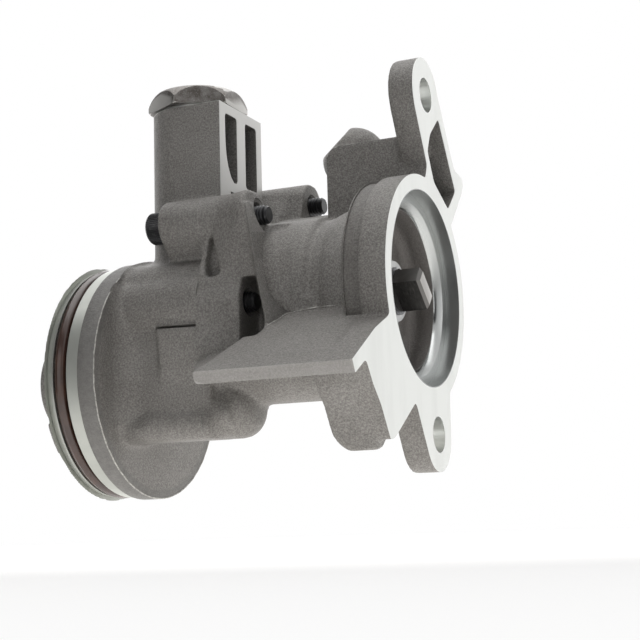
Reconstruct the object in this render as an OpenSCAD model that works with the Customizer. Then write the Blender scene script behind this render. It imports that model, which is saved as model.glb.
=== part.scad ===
// Engine oil pump: a two-gear pump with a long drive neck, a mounting flange, a relief valve tower
// and a round sealed spigot. The origin is the centre of the drive opening on the machined flange
// face. +X leaves the flange along the drive axis and +Z runs up the relief valve tower.

/* [Mounting flange] */
// Outer radius of the ring round the drive opening
ring_r = 44.1; // [43:0.1:47]
// Thickness of the flange plate and its two ears
flange_t = 10.5; // [8:0.5:13]
// Radius of the two mounting bolt holes
ear_hole_r = 6.9; // [5:0.1:8]
// Radius of the upper ear
upper_ear_r = 15; // [12:0.5:17]
// Height of the upper bolt hole above the drive axis
upper_hole_z = 78.8; // [76:0.5:84]
// Radius of the lower ear
lower_ear_r = 14.3; // [12:0.1:16]
// Depth of the lower bolt hole below the drive axis
lower_hole_z = 55.9; // [54:0.5:60]
// Sideways offset of both bolt holes from the drive axis
hole_y = 6.8; // [4:0.2:9]

/* [Drive opening] */
// Radius of the machined counterbore
counterbore_r = 38; // [36:0.1:39]
// Depth of the machined counterbore
counterbore_l = 5.7; // [4:0.1:8]
// Radius of the opening behind the counterbore
opening_r = 31.5; // [29:0.5:32.5]
// Depth of the coupling recess from the flange face
recess_l = 19.5; // [17:0.5:24]
// Radius of the bearing boss in the recess
nose_r = 12.8; // [12:0.1:15]
// Length that the bearing boss stands up from the recess floor
nose_l = 5.5; // [3:0.5:6]

/* [Drive neck] */
// Outer radius of the neck between the flange and the gear end
neck_r = 32; // [31.5:0.5:34]
// Distance from the flange face to the joint between the castings
joint_d = 83; // [80:0.5:90]
// Radius of the second ring behind the flange
back_ring_r = 43; // [41:0.5:43]
// Length of the second ring
back_ring_l = 8; // [6:0.5:10]
// Radius of the inlet duct beside the neck
duct_r = 15; // [13:0.5:15.5]
// Wall of the inlet duct
duct_wall = 5; // [4:0.5:6]

/* [Angled fin] */
// Distance of the fin's free edge from the drive axis, sideways
fin_reach = 77.2; // [70:0.1:80]
// Depth of the fin's free edge below the drive axis
fin_drop = 35.1; // [33:0.1:37]
// Slope of the fin, in degrees
fin_slope = 28.7; // [26:0.1:31]
// Thickness of the fin
fin_t = 4.8; // [4:0.1:6]
// Length of the fin's free edge behind the flange face
fin_l = 60; // [55:1:65]
// Length of the solid foot under the fin
foot_l = 22; // [18:0.5:26]
// Depth of the solid foot below the drive axis
foot_z = 64; // [62:0.5:66]

/* [Gears and shafts] */
// Number of teeth on each gear
teeth = 10; // [9:1:12]
// Distance between the two gear axes
gear_centres = 28; // [27:0.25:28.5]
// Direction of the idler gear seen from the drive gear, in degrees
idler_way = -106.5; // [-110:0.5:-100]
// Length of the gears
gear_l = 28; // [20:1:30]
// Radius of the drive shaft
shaft_r = 7.75; // [6.5:0.25:8]
// Radius of the idler shaft
idler_shaft_r = 6.5; // [5.5:0.25:6.75]
// Wall of the bearing bushes
bush_wall = 1.5; // [1:0.25:2]
// Thickness of the drive tang
tang_t = 7.5; // [6:0.25:9]
// Length of the drive tang
tang_l = 11; // [9:0.25:11]
// Turn of the drive tang at rest, in degrees
tang_turn = -40; // [-90:5:90]
// Length of the bush at the coupling end of the neck
neck_bush_l = 22; // [16:1:30]
// Length of the bush at the gear end of the neck
joint_bush_l = 20; // [14:1:24]
// Length of the bush behind the drive gear
end_bush_l = 8; // [6:0.5:9]
// Depth that the idler shaft is pressed into the pump body
idler_seat_l = 14; // [10:0.5:18]
// Depth that the idler shaft reaches into the gear housing
idler_end_l = 7; // [5:0.5:7.5]

/* [Relief valve] */
// Distance of the valve axis behind the joint between the castings
valve_back = 16; // [15.5:0.5:18]
// Outer radius of the valve tower
tower_r = 18.7; // [18:0.1:20]
// Height of the top of the tower above the drive axis
tower_top = 82; // [80:0.5:86]
// Length that the flat front of the tower overhangs the joint
overhang = 4; // [2:0.5:6]
// Height where that overhang starts
overhang_z = 46; // [45.5:0.5:48]
// Radius of the valve bore
valve_bore_r = 13.5; // [12:0.25:14.25]
// Height of the valve seat above the drive axis
seat_z = 40; // [38:0.5:42]
// Length of the valve piston
piston_l = 22; // [18:0.5:24]
// Width of each spill window
window_w = 10.3; // [8:0.1:11]
// Width of the rib between the two spill windows
window_rib = 7.4; // [5:0.1:8]
// Height of the foot of the spill windows
window_z0 = 50; // [48:0.5:53]
// Height of the top of the spill windows
window_z1 = 78; // [74:0.5:79]
// Size across the flats of the hexagon plug
plug_af = 36; // [32:0.5:38]
// Height of the hexagon head
plug_head_h = 7.6; // [6:0.2:10]
// Depth that the plug reaches into the valve bore
plug_skirt_l = 3.5; // [2:0.5:3.5]
// Turn of the hexagon plug, in degrees
plug_turn = -29; // [-60:1:60]
// Thickness of the plug washer
washer_t = 1.5; // [1:0.1:2]
// Wire radius of the valve spring
wire_r = 1.3; // [1:0.1:1.6]
// Radius of the spring's centre line
spring_r = 8; // [7:0.25:8.25]
// Number of free turns of the valve spring
spring_turns = 6; // [4:1:7]

/* [Sealed spigot] */
// Radius of the machined band of the spigot
spigot_r = 48; // [46:0.1:50]
// Radius step from the machined band to the cast rim
rim_step = 0.9; // [0.4:0.1:2]
// Distance from the joint to the near face of the spigot
spigot_d = 36.5; // [36:0.5:42]
// Length of the cast rim
rim_l = 7.6; // [6:0.2:10]
// Length of the machined band
band_l = 5.8; // [4:0.2:8]
// Width of the seal groove
groove_w = 6.4; // [5.5:0.1:7]
// Length of the plate outside the groove
plate_l = 3.2; // [2.5:0.1:5]
// Section radius of the seal ring
seal_r = 2.4; // [2:0.1:2.6]
// Depth of the spigot centre below the drive axis
spigot_drop = 27.5; // [26:0.5:29]
// Outer radius of the outlet boss
outlet_boss_r = 21; // [19:0.5:21]
// Length of the outlet boss
outlet_boss_l = 22.7; // [15:0.1:25]
// Radius of the outlet bore
outlet_r = 13; // [10:0.5:15]

/* [Housing screws] */
// Nominal radius of the housing screws
screw_r = 4; // [3:0.25:4]
// Length of the two short screws under the head
short_screw_l = 45; // [40:0.5:50]
// Length of the three long screws under the head
long_screw_l = 70; // [65:0.5:75]
// Length of the short screws' bosses on the gear housing
left_boss_l = 18.5; // [16:0.5:20]
// Depth of the long screws' head pockets in the spigot
head_pocket_l = 12; // [9:0.5:14]
// Length of the screw bosses on the pump body
right_boss_l = 21; // [18:0.5:24]
// Outer radius of the short screws' bosses
boss_r = 10; // [9:0.1:10.5]
// Radius of the dowel pins
dowel_r = 3; // [2:0.25:3.25]
// Length of the dowel pins
dowel_l = 14; // [10:0.5:16]

/* [Hidden] */
$fn = 96;

// Clearance of a running fit, of a located fit and of a loose hole
run_gap = 0.04;
seat_gap = 0.02;
loose_gap = 0.3;
// Clearance between the end faces of a gear and its pocket
end_gap = 0.05;
// Small overlap that makes one solid of two shapes of the same casting
bite = 0.5;
// Distance that a cutting tool runs past the face it cuts
over = 1;

// Planes across the drive axis, from the flange to the outlet
nose_x = nose_l - recess_l;
ring_back = -flange_t - back_ring_l;
joint_x = -joint_d;
gear_x0 = joint_x - gear_l - 2 * end_gap;
valve_x = joint_x - valve_back;
rim_x1 = joint_x - spigot_d;
rim_x0 = rim_x1 - rim_l;
band_x0 = rim_x0 - band_l;
groove_x0 = band_x0 - groove_w;
plate_x0 = groove_x0 - plate_l;
outlet_x0 = plate_x0 - outlet_boss_l;
body_boss_x = joint_x + right_boss_l;

// Centres across the drive axis, as y and z
drive_at = [0, 0];
idler_at = gear_centres * [cos(idler_way), sin(idler_way)];
spigot_at = [0, -spigot_drop];
upper_hole = [hole_y, upper_hole_z];
lower_hole = [hole_y, -lower_hole_z];
short_at = [[-21, 31.5], [33, 46]];
long_at = [spigot_at + (spigot_r - 13) * [cos(135.6), sin(135.6)], spigot_at + (spigot_r - 14) * [cos(41.4), sin(41.4)],
           spigot_at + (spigot_r - 17) * [1, 0]];
long_radii = boss_r - 1.2;
dowel_at = [[-13, 24], [-21.5, -45]];
duct_at = [20, 18];
rib_at = [-24.5, -49];
rib_r = 6;
// Distance of the gear section's side walls from the drive axis
wall_y = 28;

// Seats of the screw heads
short_seat_x = joint_x - left_boss_l;
long_seat_x = plate_x0 + head_pocket_l;
head_r = 1.625 * screw_r;
head_h = 2 * screw_r;

// Slope of the fin as a rise for each millimetre across
fin_rise = tan(fin_slope);

// Gear sizes and the ports beside the mesh
tooth_m = gear_centres / teeth;
tip_r = gear_centres / 2 + tooth_m * 0.95;
root_r = gear_centres / 2 - tooth_m * 1.25;
pocket_r = tip_r + 0.1;
mesh_at = idler_at / 2;
port_way = [cos(idler_way + 90), sin(idler_way + 90)];
inlet_port_at = mesh_at + 15 * port_way;
inlet_port_r = 8.5;
outlet_port_at = mesh_at - 12 * port_way;
outlet_port_r = 6;
key_l = 12;
key_w = 4;
key_h = 3.5;
key_sunk = 2;

// Circlip on the drive shaft
clip_t = 1.2;
clip_sunk = 0.7;
clip_x = nose_x + 1.2;

// Heights in the relief valve
plug_seat = tower_top + washer_t;
spring_z0 = seat_z + 4.1;
spring_z1 = plug_seat + 1.5;
plug_bore_r = 10.7;
guide_t = 1.4;

// Inlet port in the flange face, as y and z of its corners
port = [[21.2, 72.9], [10.3, 63.6], [6.6, 55.8], [12.8, 44.6], [29.1, 36.8], [39.5, 46.4]];
// Frame of the flange round the inlet port
port_frame = [[-6.6, 71.5], [2.4, 55.3], [5.3, 50], [2.6, 43], [24, 30], [33.5, 32], [47.9, 47.1], [50, 51],
              [49.4, 54.2], [39.5, 55.6], [35.4, 61.4], [18.2, 87.9]];

// Basic shapes
module along_x(x0, x1) {
    translate([x0, 0, 0]) rotate([90, 0, 90]) linear_extrude(height = x1 - x0) children();
}

module along_y(y0, y1) {
    translate([0, y1, 0]) rotate([90, 0, 0]) linear_extrude(height = y1 - y0) children();
}

module rod(at, r, x0, x1) {
    translate([x0, at[0], at[1]]) rotate([0, 90, 0]) cylinder(r = r, h = x1 - x0);
}

module cone(at, r0, r1, x0, x1) {
    translate([x0, at[0], at[1]]) rotate([0, 90, 0]) cylinder(r1 = r0, r2 = r1, h = x1 - x0);
}

// A turned shape: each point is a distance along +X and a radius
module turned(points, at = [0, 0]) {
    translate([0, at[0], at[1]]) rotate([0, 90, 0]) rotate_extrude() polygon([for (p = points) [p[1], p[0]]]);
}

// Points of an arc, to be set into an outline
function arc(c, r, a0, a1, n = 6) =
    [for (i = [0:n]) let (a = a0 + (a1 - a0) * i / n) c + r * [cos(a), sin(a)]];

// Two discs joined by their outer tangents, which are set in a little so that they cross the discs cleanly
module belt(c1, r1, c2, r2) {
    d = norm(c2 - c1);
    a = atan2(c2[1] - c1[1], c2[0] - c1[0]);
    b = acos((r1 - r2) / d);
    s1 = r1 - 0.08;
    s2 = r2 - 0.08;
    translate(c1) circle(r1);
    translate(c2) circle(r2);
    polygon([c1 + s1 * [cos(a + b), sin(a + b)], c2 + s2 * [cos(a + b), sin(a + b)],
             c2 + s2 * [cos(a - b), sin(a - b)], c1 + s1 * [cos(a - b), sin(a - b)]]);
}

// Section of both castings round the two gears, seen along the drive axis
module gear_section() {
    shoulder = [18, 7];
    shoulder_r = 10;
    crown_r = 21.5;
    // Direction in which the shoulder runs into the crown
    meet = atan2(shoulder[1], shoulder[0]) + 180 - acos((shoulder_r - crown_r) / norm(shoulder));
    polygon(concat(arc(rib_at, rib_r, 180, 270, 6), [[-11, -54.5], [0, -51.6], [11, -50], [17, -47], [22, -42.5], [wall_y - 2, -37],
                                                            [wall_y, -31]],
                   arc(shoulder, shoulder_r, 0, meet, 8), arc(drive_at, crown_r, meet, 180 - meet, 5),
                   arc([-shoulder[0], shoulder[1]], shoulder_r, 180 - meet, 180, 8), [[-wall_y, rib_at[1] + 5]]));
}

// The pump body: flange, drive neck, inlet duct, screw bosses and the angled fin

// Outline of the flange face
module flange_outline() {
    circle(ring_r);
    polygon(port_frame);
    translate(upper_hole) circle(upper_ear_r);
    translate(lower_hole) circle(lower_ear_r);
    polygon([lower_hole + lower_ear_r * [cos(215), sin(215)], [-17.4, -45], [-17.4, -30], [21.8, -30],
             lower_hole + lower_ear_r * [1, 0]]);
    polygon([[-38, fin_top(-38)], [-42.4, -16], [-55.7, -22], [-fin_reach, -fin_drop], fin_under, [-65.1, -33.8],
             [-59.3, -41.8], [-52.4, -48.6], [-44.3, -60.2], [-40.3, -59.3], [-17.4, -45], [-17.4, -30]]);
}

// Height of the fin's upper face at a distance across, and the lower corner of its free edge
function fin_top(y) = (y + fin_reach) * fin_rise - fin_drop;
fin_under = [-fin_reach + fin_t * sin(fin_slope), -fin_drop - fin_t * cos(fin_slope)];

// Turned outside of the neck with its rings
module neck() {
    ring_x = ring_back;
    turned(concat([[joint_x, 0], [joint_x, neck_r], [ring_x - 20, neck_r], [ring_x - 16, neck_r - 0.8],
                   [ring_x - 13.5, neck_r - 1.2], [ring_x - 12, neck_r], [ring_x - 8, neck_r + 1.4],
                   [ring_x - 2.4, neck_r + 2.2]], arc([ring_x - 2, neck_r + 4.2], 2, 270, 360, 4),
                  arc([ring_x + 1.5, back_ring_r - 1.5], 1.5, 180, 90, 4),
                  [[-flange_t + bite, back_ring_r], [-flange_t + bite, 0]]));
}

// Plate that runs back from the flange at an angle, and sinks towards the joint at its root
module fin() {
    root_y = -28;
    level_x = -50;
    sunk = 12;
    edge = [[-fin_reach, -fin_drop], fin_under];
    under = fin_top(root_y) - fin_t / cos(fin_slope);
    along_x(level_x, -flange_t / 2) polygon(concat([[root_y, fin_top(root_y)]], edge, [[root_y, under]]));
    hull() {
        along_x(level_x, level_x + bite) polygon(concat([[root_y, fin_top(root_y)]], edge, [[root_y, under]]));
        along_x(-fin_l, -fin_l + bite) polygon(concat([[root_y, fin_top(root_y) - sunk]], edge, [[root_y, under - sunk]]));
    }
    hull() {
        along_x(-fin_l, -fin_l + bite) polygon(concat([[root_y, fin_top(root_y) - sunk]], edge, [[root_y, under - sunk]]));
        along_x(joint_x, joint_x + bite) polygon([[-20, -21], [-30.5, -25.4], [-30, -30], [-20, -30]]);
    }
}

// Solid foot under the fin behind the flange
module fin_foot() {
    round_r = 9;
    intersection() {
        along_x(-foot_l, -flange_t / 2) polygon([[-64, -33.5], [-59.3, -41.8], [-52.4, -48.6], [-46, -58.5],
                                                [-43.5, -foot_z + 0.4], [-38, -foot_z + 1.5], [-17.4, -45.5],
                                                [-17.4, -20], [-40, -20]]);
        along_y(-80, 0) polygon(concat([[over, 0], [-foot_l, 0]],
                                       arc([-foot_l + round_r, -foot_z + round_r], round_r, 180, 270, 8), [[over, -foot_z]]));
    }
}

// Gear end of the body below the neck, with the round lobe that closes the foot of the gear section
module body_lobe() {
    lobe_at = [-13, -42];
    lobe_r = 12.5;
    end_r = 8;
    end_x = joint_x + 17;
    turned(concat([[joint_x, 0], [joint_x, lobe_r]], arc([end_x - end_r, lobe_r - end_r], end_r, 90, 0, 5),
                  [[end_x, 0]]), lobe_at);
    rod([-9, -21.5], 20, joint_x, ring_back);
}

// Web that ties the near screw bosses to the neck, and the rib that runs from it down to the fin
module near_web() {
    web_r = boss_r - 0.5;
    top_z = short_at[0][1];
    web_x = body_boss_x + 0.5;
    hull() {
        rod([-18.5, top_z], web_r, joint_x, joint_x + bite);
        rod([-26, top_z], web_r, web_x - bite, web_x);
        translate([0, 0, -8]) linear_extrude(height = bite)
            polygon([[joint_x, -27], [joint_x + 23, -30], [joint_x + 31, -28], [joint_x, -20]]);
    }
    hull() {
        translate([0, 0, top_z + 2]) linear_extrude(height = bite)
            polygon([[joint_x + 19, -30], [joint_x + 24, -36], [joint_x + 26, -15]]);
        translate([0, 0, -19]) linear_extrude(height = bite)
            polygon([[joint_x + 29, -28], [joint_x + 35, -42], [joint_x + 41, -28]]);
    }
}

// Pocket between the nearest long screw's boss and the rib, open towards the near side, with its sloping roof
module tip_pocket() {
    x0 = body_boss_x - 2;
    hull() {
        translate([0, 0, 6]) linear_extrude(height = bite) polygon([[x0, -17], [x0 + 3, -19.5], [x0 + 6.5, -30], [x0, -30]]);
        translate([0, 0, -4]) linear_extrude(height = bite) polygon([[x0, -47], [x0, -40], [x0 + 11.6, -40], [x0 + 12.2, -47]]);
        translate([0, 0, -20]) linear_extrude(height = bite)
            polygon([[x0, -17], [x0 + 5, -19.5], [x0 + 14.4, -41.5], [x0 + 14.6, -50], [x0, -50]]);
    }
    rod(long_at[0], long_radii - 0.3, x0, x0 + 8);
}

// Three-sided pocket in the web beside the joint, between the two near bosses
module web_pocket() {
    along_y(-45, -24) polygon([[joint_x + 4.7, 27], [joint_x + 9.5, 8.2], [joint_x + 3.2, 7.2], [joint_x + 1.8, 14]]);
}

// Block of the inlet behind the upper ear
module inlet_block() {
    near_y = 4.2;
    far_y = 44;
    top_z = 63;
    foot = 25;
    left_x = -43;
    round_r = 6;
    dome_r = 13.5;
    along_y(near_y, far_y) polygon(concat([[-flange_t + bite, foot], [-flange_t + bite, top_z]],
                                          arc([left_x + round_r, top_z - round_r], round_r, 90, 180, 6), [[left_x, foot]]));
    // Domed end of the duct where it turns down to the gears
    translate([left_x + 5, 24, top_z - 1.5]) sphere(dome_r);
}

// Bosses of the five housing screws on the pump body
module body_bosses() {
    for (p = short_at) rod(p, boss_r, joint_x, body_boss_x);
    for (p = long_at) rod(p, long_radii, joint_x, body_boss_x - 2);
    along_x(joint_x, body_boss_x) belt(short_at[1], boss_r, [27, 27], 10);
    along_x(joint_x, body_boss_x - 2) belt(long_at[1], long_radii, long_at[2], long_radii - 0.1);
    // The boss nearest the fin is squared off down to it
    along_x(joint_x, body_boss_x - 2) {
        near_y = long_at[0][0] - long_radii + 0.2;
        polygon([[near_y, long_at[0][1]], [-20, 0], [-20, -25], [near_y + 2, -25], [near_y, -22]]);
    }
}

module body_outside() {
    along_x(-flange_t, 0) flange_outline();
    neck();
    fin();
    fin_foot();
    body_lobe();
    near_web();
    inlet_block();
    rod(duct_at, duct_r + duct_wall, joint_x + 14, ring_back + bite);
    body_bosses();
    along_x(joint_x, joint_x + 3) gear_section();
    along_x(joint_x, joint_x + 12) boss_arms();
}

// Arms that carry the screw bosses where the two castings meet
module boss_arms() {
    belt(short_at[0], boss_r, [-8, 14], 12);
    belt(short_at[1], boss_r, [22, 20], 13);
    for (i = [0:2]) belt(long_at[i], long_radii, [0, -14 * i / 2], 18);
}

// Recess for the drive coupling
module drive_recess() {
    floor_x = -recess_l;
    floor_r = 5;
    turned(concat([[over, 0], [over, counterbore_r], [-counterbore_l, counterbore_r], [-counterbore_l, opening_r + 2.4],
                   [-counterbore_l - 1.2, opening_r + 1.2], [-counterbore_l - 3, opening_r]],
                  arc([floor_x + floor_r, opening_r - floor_r], floor_r, 90, 180, 5),
                  arc([floor_x + 2, nose_r + 2.6], 2, 180, 270, 4),
                  [[nose_x, nose_r], [nose_x, 0]]));
}

// Cast pocket behind the inlet port, then the duct back to the gears
module inlet_passage() {
    y0 = shaft_r + bush_wall + 1.7;
    y1 = long_at[1][0] - screw_r - 2;
    turn_x = -27;
    along_x(-38, over) polygon(port);
    rod(duct_at, duct_r, joint_x + 18, turn_x + 1);
    along_x(-38, turn_x) polygon([[10, 30], [10, 60], [34, 60], [34, 30]]);
    along_x(joint_x + 5, joint_x + 30) polygon([[y0, -23], [y1, -23], [y1, 24], [y0, 24]]);
    along_x(joint_x - over, joint_x + 8) polygon([[4, -23], [y1, -23], [y1, -y0], [4, -y0]]);
}

module pump_body() {
    short_tap_x = short_seat_x + short_screw_l + 5;
    long_tap_x = long_seat_x + long_screw_l + 1.5;
    color([0.50, 0.48, 0.46]) difference() {
        body_outside();
        drive_recess();
        inlet_passage();
        for (h = [upper_hole, lower_hole]) rod(h, ear_hole_r, -flange_t - 40, over);
        rod(drive_at, shaft_r + bush_wall, nose_x - neck_bush_l, nose_x + over);
        rod(drive_at, shaft_r + 1, joint_x + over, nose_x - neck_bush_l + over);
        rod(drive_at, shaft_r + bush_wall, joint_x - over, joint_x + joint_bush_l);
        rod(idler_at, idler_shaft_r + seat_gap, joint_x - over, joint_x + idler_seat_l);
        for (p = short_at) rod(p, screw_r + seat_gap, joint_x - over, short_tap_x);
        for (p = long_at) rod(p, screw_r + seat_gap, joint_x - over, long_tap_x);
        tip_pocket();
        web_pocket();
        for (p = dowel_at) rod(p, dowel_r + seat_gap, joint_x - over, joint_x + dowel_l / 2 + 0.5);
    }
}

// The gear housing: gear pocket, spigot and relief valve tower

module spigot() {
    rim_r = spigot_r + rim_step;
    groove_r = spigot_r - 2 * seal_r - 0.15;
    plate_r = spigot_r - 1.2;
    lug_t = 3.5;
    lug_r = plate_r - 0.5;
    turned([[plate_x0, 0], [plate_x0, plate_r], [plate_x0 + 0.6, plate_r + 0.6], [groove_x0, plate_r + 0.7],
            [groove_x0, groove_r], [band_x0, groove_r], [band_x0, spigot_r - 0.3],
            [band_x0 + 0.3, spigot_r], [rim_x0, spigot_r], [rim_x0, rim_r], [rim_x1 - 0.6, rim_r - 0.3],
            [rim_x1, rim_r - 0.9], [rim_x1, 0]], spigot_at);
    // Locating lugs on the back of the plate
    for (span = [[-156, -138], [104, 112]]) along_x(plate_x0 - lug_t, plate_x0 + bite) translate(spigot_at)
        polygon(concat(arc([0, 0], lug_r, span[0], span[1], 6), arc([0, 0], lug_r - 10.5, span[1], span[0], 4)));
}

module outlet_boss() {
    turned(concat([[plate_x0 + bite, 0], [plate_x0 + bite, outlet_boss_r + 2]],
                  arc([plate_x0 - 2, outlet_boss_r + 2], 2, 0, -90, 3),
                  arc([outlet_x0 + 2.5, outlet_boss_r - 2.5], 2.5, 90, 180, 4), [[outlet_x0, 0]]), spigot_at);
}

// Round tower of the relief valve with its flat front
module tower() {
    foot = 10;
    translate([valve_x, 0, foot]) cylinder(r = tower_r, h = tower_top - foot);
    translate([valve_x, -tower_r, foot]) cube([valve_back + overhang, 2 * tower_r, tower_top - foot]);
}

// Room for the pump body's bosses under the overhang of the tower
module overhang_cut() {
    translate([joint_x, -tower_r - over, 0]) cube([overhang + over, 2 * (tower_r + over), overhang_z]);
}

// Body between the joint and the spigot
module housing_block() {
    cove_r = 10;
    near_y = -wall_y;
    swell_at = [-19.5, -1];
    swell_r = 13.8;
    along_x(rim_x1 - bite, joint_x) gear_section();
    along_x(short_seat_x, joint_x) {
        belt(short_at[0], boss_r, [-8, 18], 10);
        belt(short_at[1], boss_r, [22, 20], 13);
    }
    for (p = [long_at[1], long_at[2]]) rod(p, long_radii, rim_x1 - bite, joint_x);
    cone(swell_at, swell_r - 1, swell_r, rim_x1 - bite, joint_x);
    // Cove where the near wall runs into the spigot, and a low pad on that wall
    translate([0, 0, rib_at[1]]) linear_extrude(height = 7 - rib_at[1])
        polygon(concat([[rim_x1 - bite, near_y + bite], [rim_x1 - bite, near_y - cove_r]],
                       arc([rim_x1 + cove_r, near_y - cove_r], cove_r, 180, 90, 6), [[rim_x1 + cove_r, near_y + bite]]));
    translate([joint_x - 19, near_y - 1.5, -25]) cube([19, 3, 11]);
}

module gear_pocket() {
    for (at = [drive_at, idler_at]) rod(at, pocket_r, gear_x0, joint_x + over);
    rod(inlet_port_at, inlet_port_r, gear_x0, joint_x + over);
    rod(outlet_port_at, outlet_port_r, rim_x0 + 3, joint_x + over);
}

// Outlet bore with the channel that joins it to the outlet port, and the drilling up to the valve
module outlet_passage() {
    channel_x0 = rim_x0 + 2;
    channel_x1 = gear_x0 - end_bush_l - 1;
    rod(spigot_at, outlet_r, outlet_x0 - over, channel_x0 + over);
    along_x(channel_x0, channel_x1) belt(outlet_port_at, outlet_port_r - 0.5, spigot_at, outlet_port_r);
    translate([valve_x, -11.5, 8]) cylinder(r = 3.5, h = 20);
}

module valve_bore() {
    foot = 26;
    translate([valve_x, 0, seat_z]) cylinder(r = valve_bore_r, h = tower_top - seat_z + over);
    translate([valve_x, 0, foot]) cylinder(r = valve_bore_r - 2, h = seat_z - foot + over);
    for (y0 = [-window_rib / 2 - window_w, window_rib / 2])
        translate([valve_x + 4, y0, window_z0]) cube([30, window_w, window_z1 - window_z0]);
}

module gear_housing() {
    color([0.50, 0.48, 0.46]) difference() {
        union() {
            housing_block();
            spigot();
            outlet_boss();
            tower();
        }
        overhang_cut();
        gear_pocket();
        valve_bore();
        outlet_passage();
        rod(drive_at, shaft_r + bush_wall, gear_x0 - end_bush_l, gear_x0 + over);
        rod(idler_at, idler_shaft_r + seat_gap, gear_x0 - idler_end_l, gear_x0 + over);
        for (p = short_at) {
            rod(p, screw_r + loose_gap, short_seat_x - over, joint_x + over);
            rod(p, head_r + loose_gap, short_seat_x - head_h - 8, short_seat_x);
        }
        for (p = long_at) {
            rod(p, screw_r + loose_gap, long_seat_x - over, joint_x + over);
            rod(p, head_r + loose_gap, plate_x0 - over, long_seat_x);
        }
        for (p = dowel_at) rod(p, dowel_r + seat_gap, joint_x - dowel_l / 2 - 0.5, joint_x + over);
    }
}

// Shafts, gears and bearings

module drive_shaft() {
    tip_x = -0.4;
    chamfer = 1;
    flat_x = tip_x - tang_l;
    color([0.24, 0.23, 0.23]) difference() {
        turned([[gear_x0 - end_bush_l + 0.5, 0], [gear_x0 - end_bush_l + 0.5, shaft_r],
                [clip_x, shaft_r], [clip_x, shaft_r - clip_sunk], [clip_x + clip_t, shaft_r - clip_sunk],
                [clip_x + clip_t, shaft_r], [tip_x - chamfer, shaft_r], [tip_x, shaft_r - chamfer], [tip_x, 0]]);
        rotate([tang_turn, 0, 0]) for (s = [0, 180]) rotate([s, 0, 0]) {
            translate([flat_x, -shaft_r - over, tang_t / 2]) cube([tang_l + 2, 2 * shaft_r + 2 * over, shaft_r]);
            along_y(-shaft_r - over, shaft_r + over)
                polygon([[tip_x - chamfer, tang_t / 2 + bite], [tip_x - chamfer, tang_t / 2], [tip_x + bite, tang_t / 2 - chamfer - bite],
                         [tip_x + 2, tang_t / 2 + bite]]);
        }
        key_shape(seat_gap);
    }
}

// Straight key in line with the tooth opposite the idler gear
module key_shape(gap) {
    rotate([idler_way + 90, 0, 0])
        translate([joint_x - gear_l / 2 - key_l / 2 - gap, -key_w / 2 - gap, shaft_r - key_sunk - gap])
            cube([key_l + 2 * gap, key_w + 2 * gap, key_h + 2 * gap]);
}

module gear_key() {
    color([0.55, 0.56, 0.58]) key_shape(0);
}

// Point of an involute that starts at angle 0 on the base circle
function involute(rb, t) = rb * [cos(t) + t * PI / 180 * sin(t), sin(t) - t * PI / 180 * cos(t)];
function roll(rb, r) = sqrt(pow(r / rb, 2) - 1) * 180 / PI;
function spin(p, a) = [p[0] * cos(a) - p[1] * sin(a), p[0] * sin(a) + p[1] * cos(a)];

module tooth_outline(turn) {
    pressure = 25;
    backlash = 0.9;
    steps = 5;
    rp = gear_centres / 2;
    rb = rp * cos(pressure);
    half = 90 / teeth - backlash + (roll(rb, rp) - pressure);
    flank = [for (i = [0:steps]) spin(involute(rb, roll(rb, tip_r) * i / steps), -half)];
    root_a = half + 1.2;
    tooth = concat([[root_r * cos(root_a), -root_r * sin(root_a)]], flank,
                   [for (i = [steps:-1:0]) [flank[i][0], -flank[i][1]]], [[root_r * cos(root_a), root_r * sin(root_a)]]);
    rotate(turn) polygon([for (k = [0:teeth - 1]) for (p = tooth) spin(p, k * 360 / teeth)]);
}

module gear(at, turn, bore) {
    difference() {
        translate([0, at[0], at[1]]) along_x(gear_x0 + end_gap, joint_x - end_gap) tooth_outline(turn);
        rod(at, bore, gear_x0 - over, joint_x + over);
    }
}

module drive_gear() {
    color([0.42, 0.42, 0.43]) difference() {
        gear(drive_at, idler_way, shaft_r + seat_gap);
        key_shape(seat_gap);
    }
}

module idler_gear() {
    color([0.42, 0.42, 0.43]) gear(idler_at, idler_way + 180 + 180 / teeth, idler_shaft_r + bush_wall);
}

module idler_shaft() {
    color([0.55, 0.55, 0.56]) rod(idler_at, idler_shaft_r, gear_x0 - idler_end_l + 0.5, joint_x + idler_seat_l - 0.5);
}

module bush(at, inner, outer, x0, x1) {
    color([0.70, 0.55, 0.30]) difference() {
        rod(at, outer, x0, x1);
        rod(at, inner, x0 - over, x1 + over);
    }
}

module neck_bush() {
    bush(drive_at, shaft_r + run_gap, shaft_r + bush_wall, nose_x - neck_bush_l, nose_x);
}

module joint_bush() {
    bush(drive_at, shaft_r + run_gap, shaft_r + bush_wall, joint_x, joint_x + joint_bush_l);
}

module end_bush() {
    bush(drive_at, shaft_r + run_gap, shaft_r + bush_wall, gear_x0 - end_bush_l, gear_x0);
}

module idler_bush() {
    bush(idler_at, idler_shaft_r + run_gap, idler_shaft_r + bush_wall, gear_x0 + end_gap, joint_x - end_gap);
}

module shaft_snap_ring() {
    inner = shaft_r - clip_sunk;
    color([0.30, 0.30, 0.31]) difference() {
        rod(drive_at, shaft_r + 1.6, clip_x + 0.05, clip_x + clip_t - 0.05);
        rod(drive_at, inner, clip_x - over, clip_x + clip_t + over);
        translate([clip_x - over, -2, 0]) cube([clip_t + 2 * over, 4, 20]);
    }
}

module shaft_washer() {
    color([0.60, 0.60, 0.62]) bush(drive_at, shaft_r + run_gap, shaft_r + 4, nose_x + 0.1, clip_x);
}

// Relief valve

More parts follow.
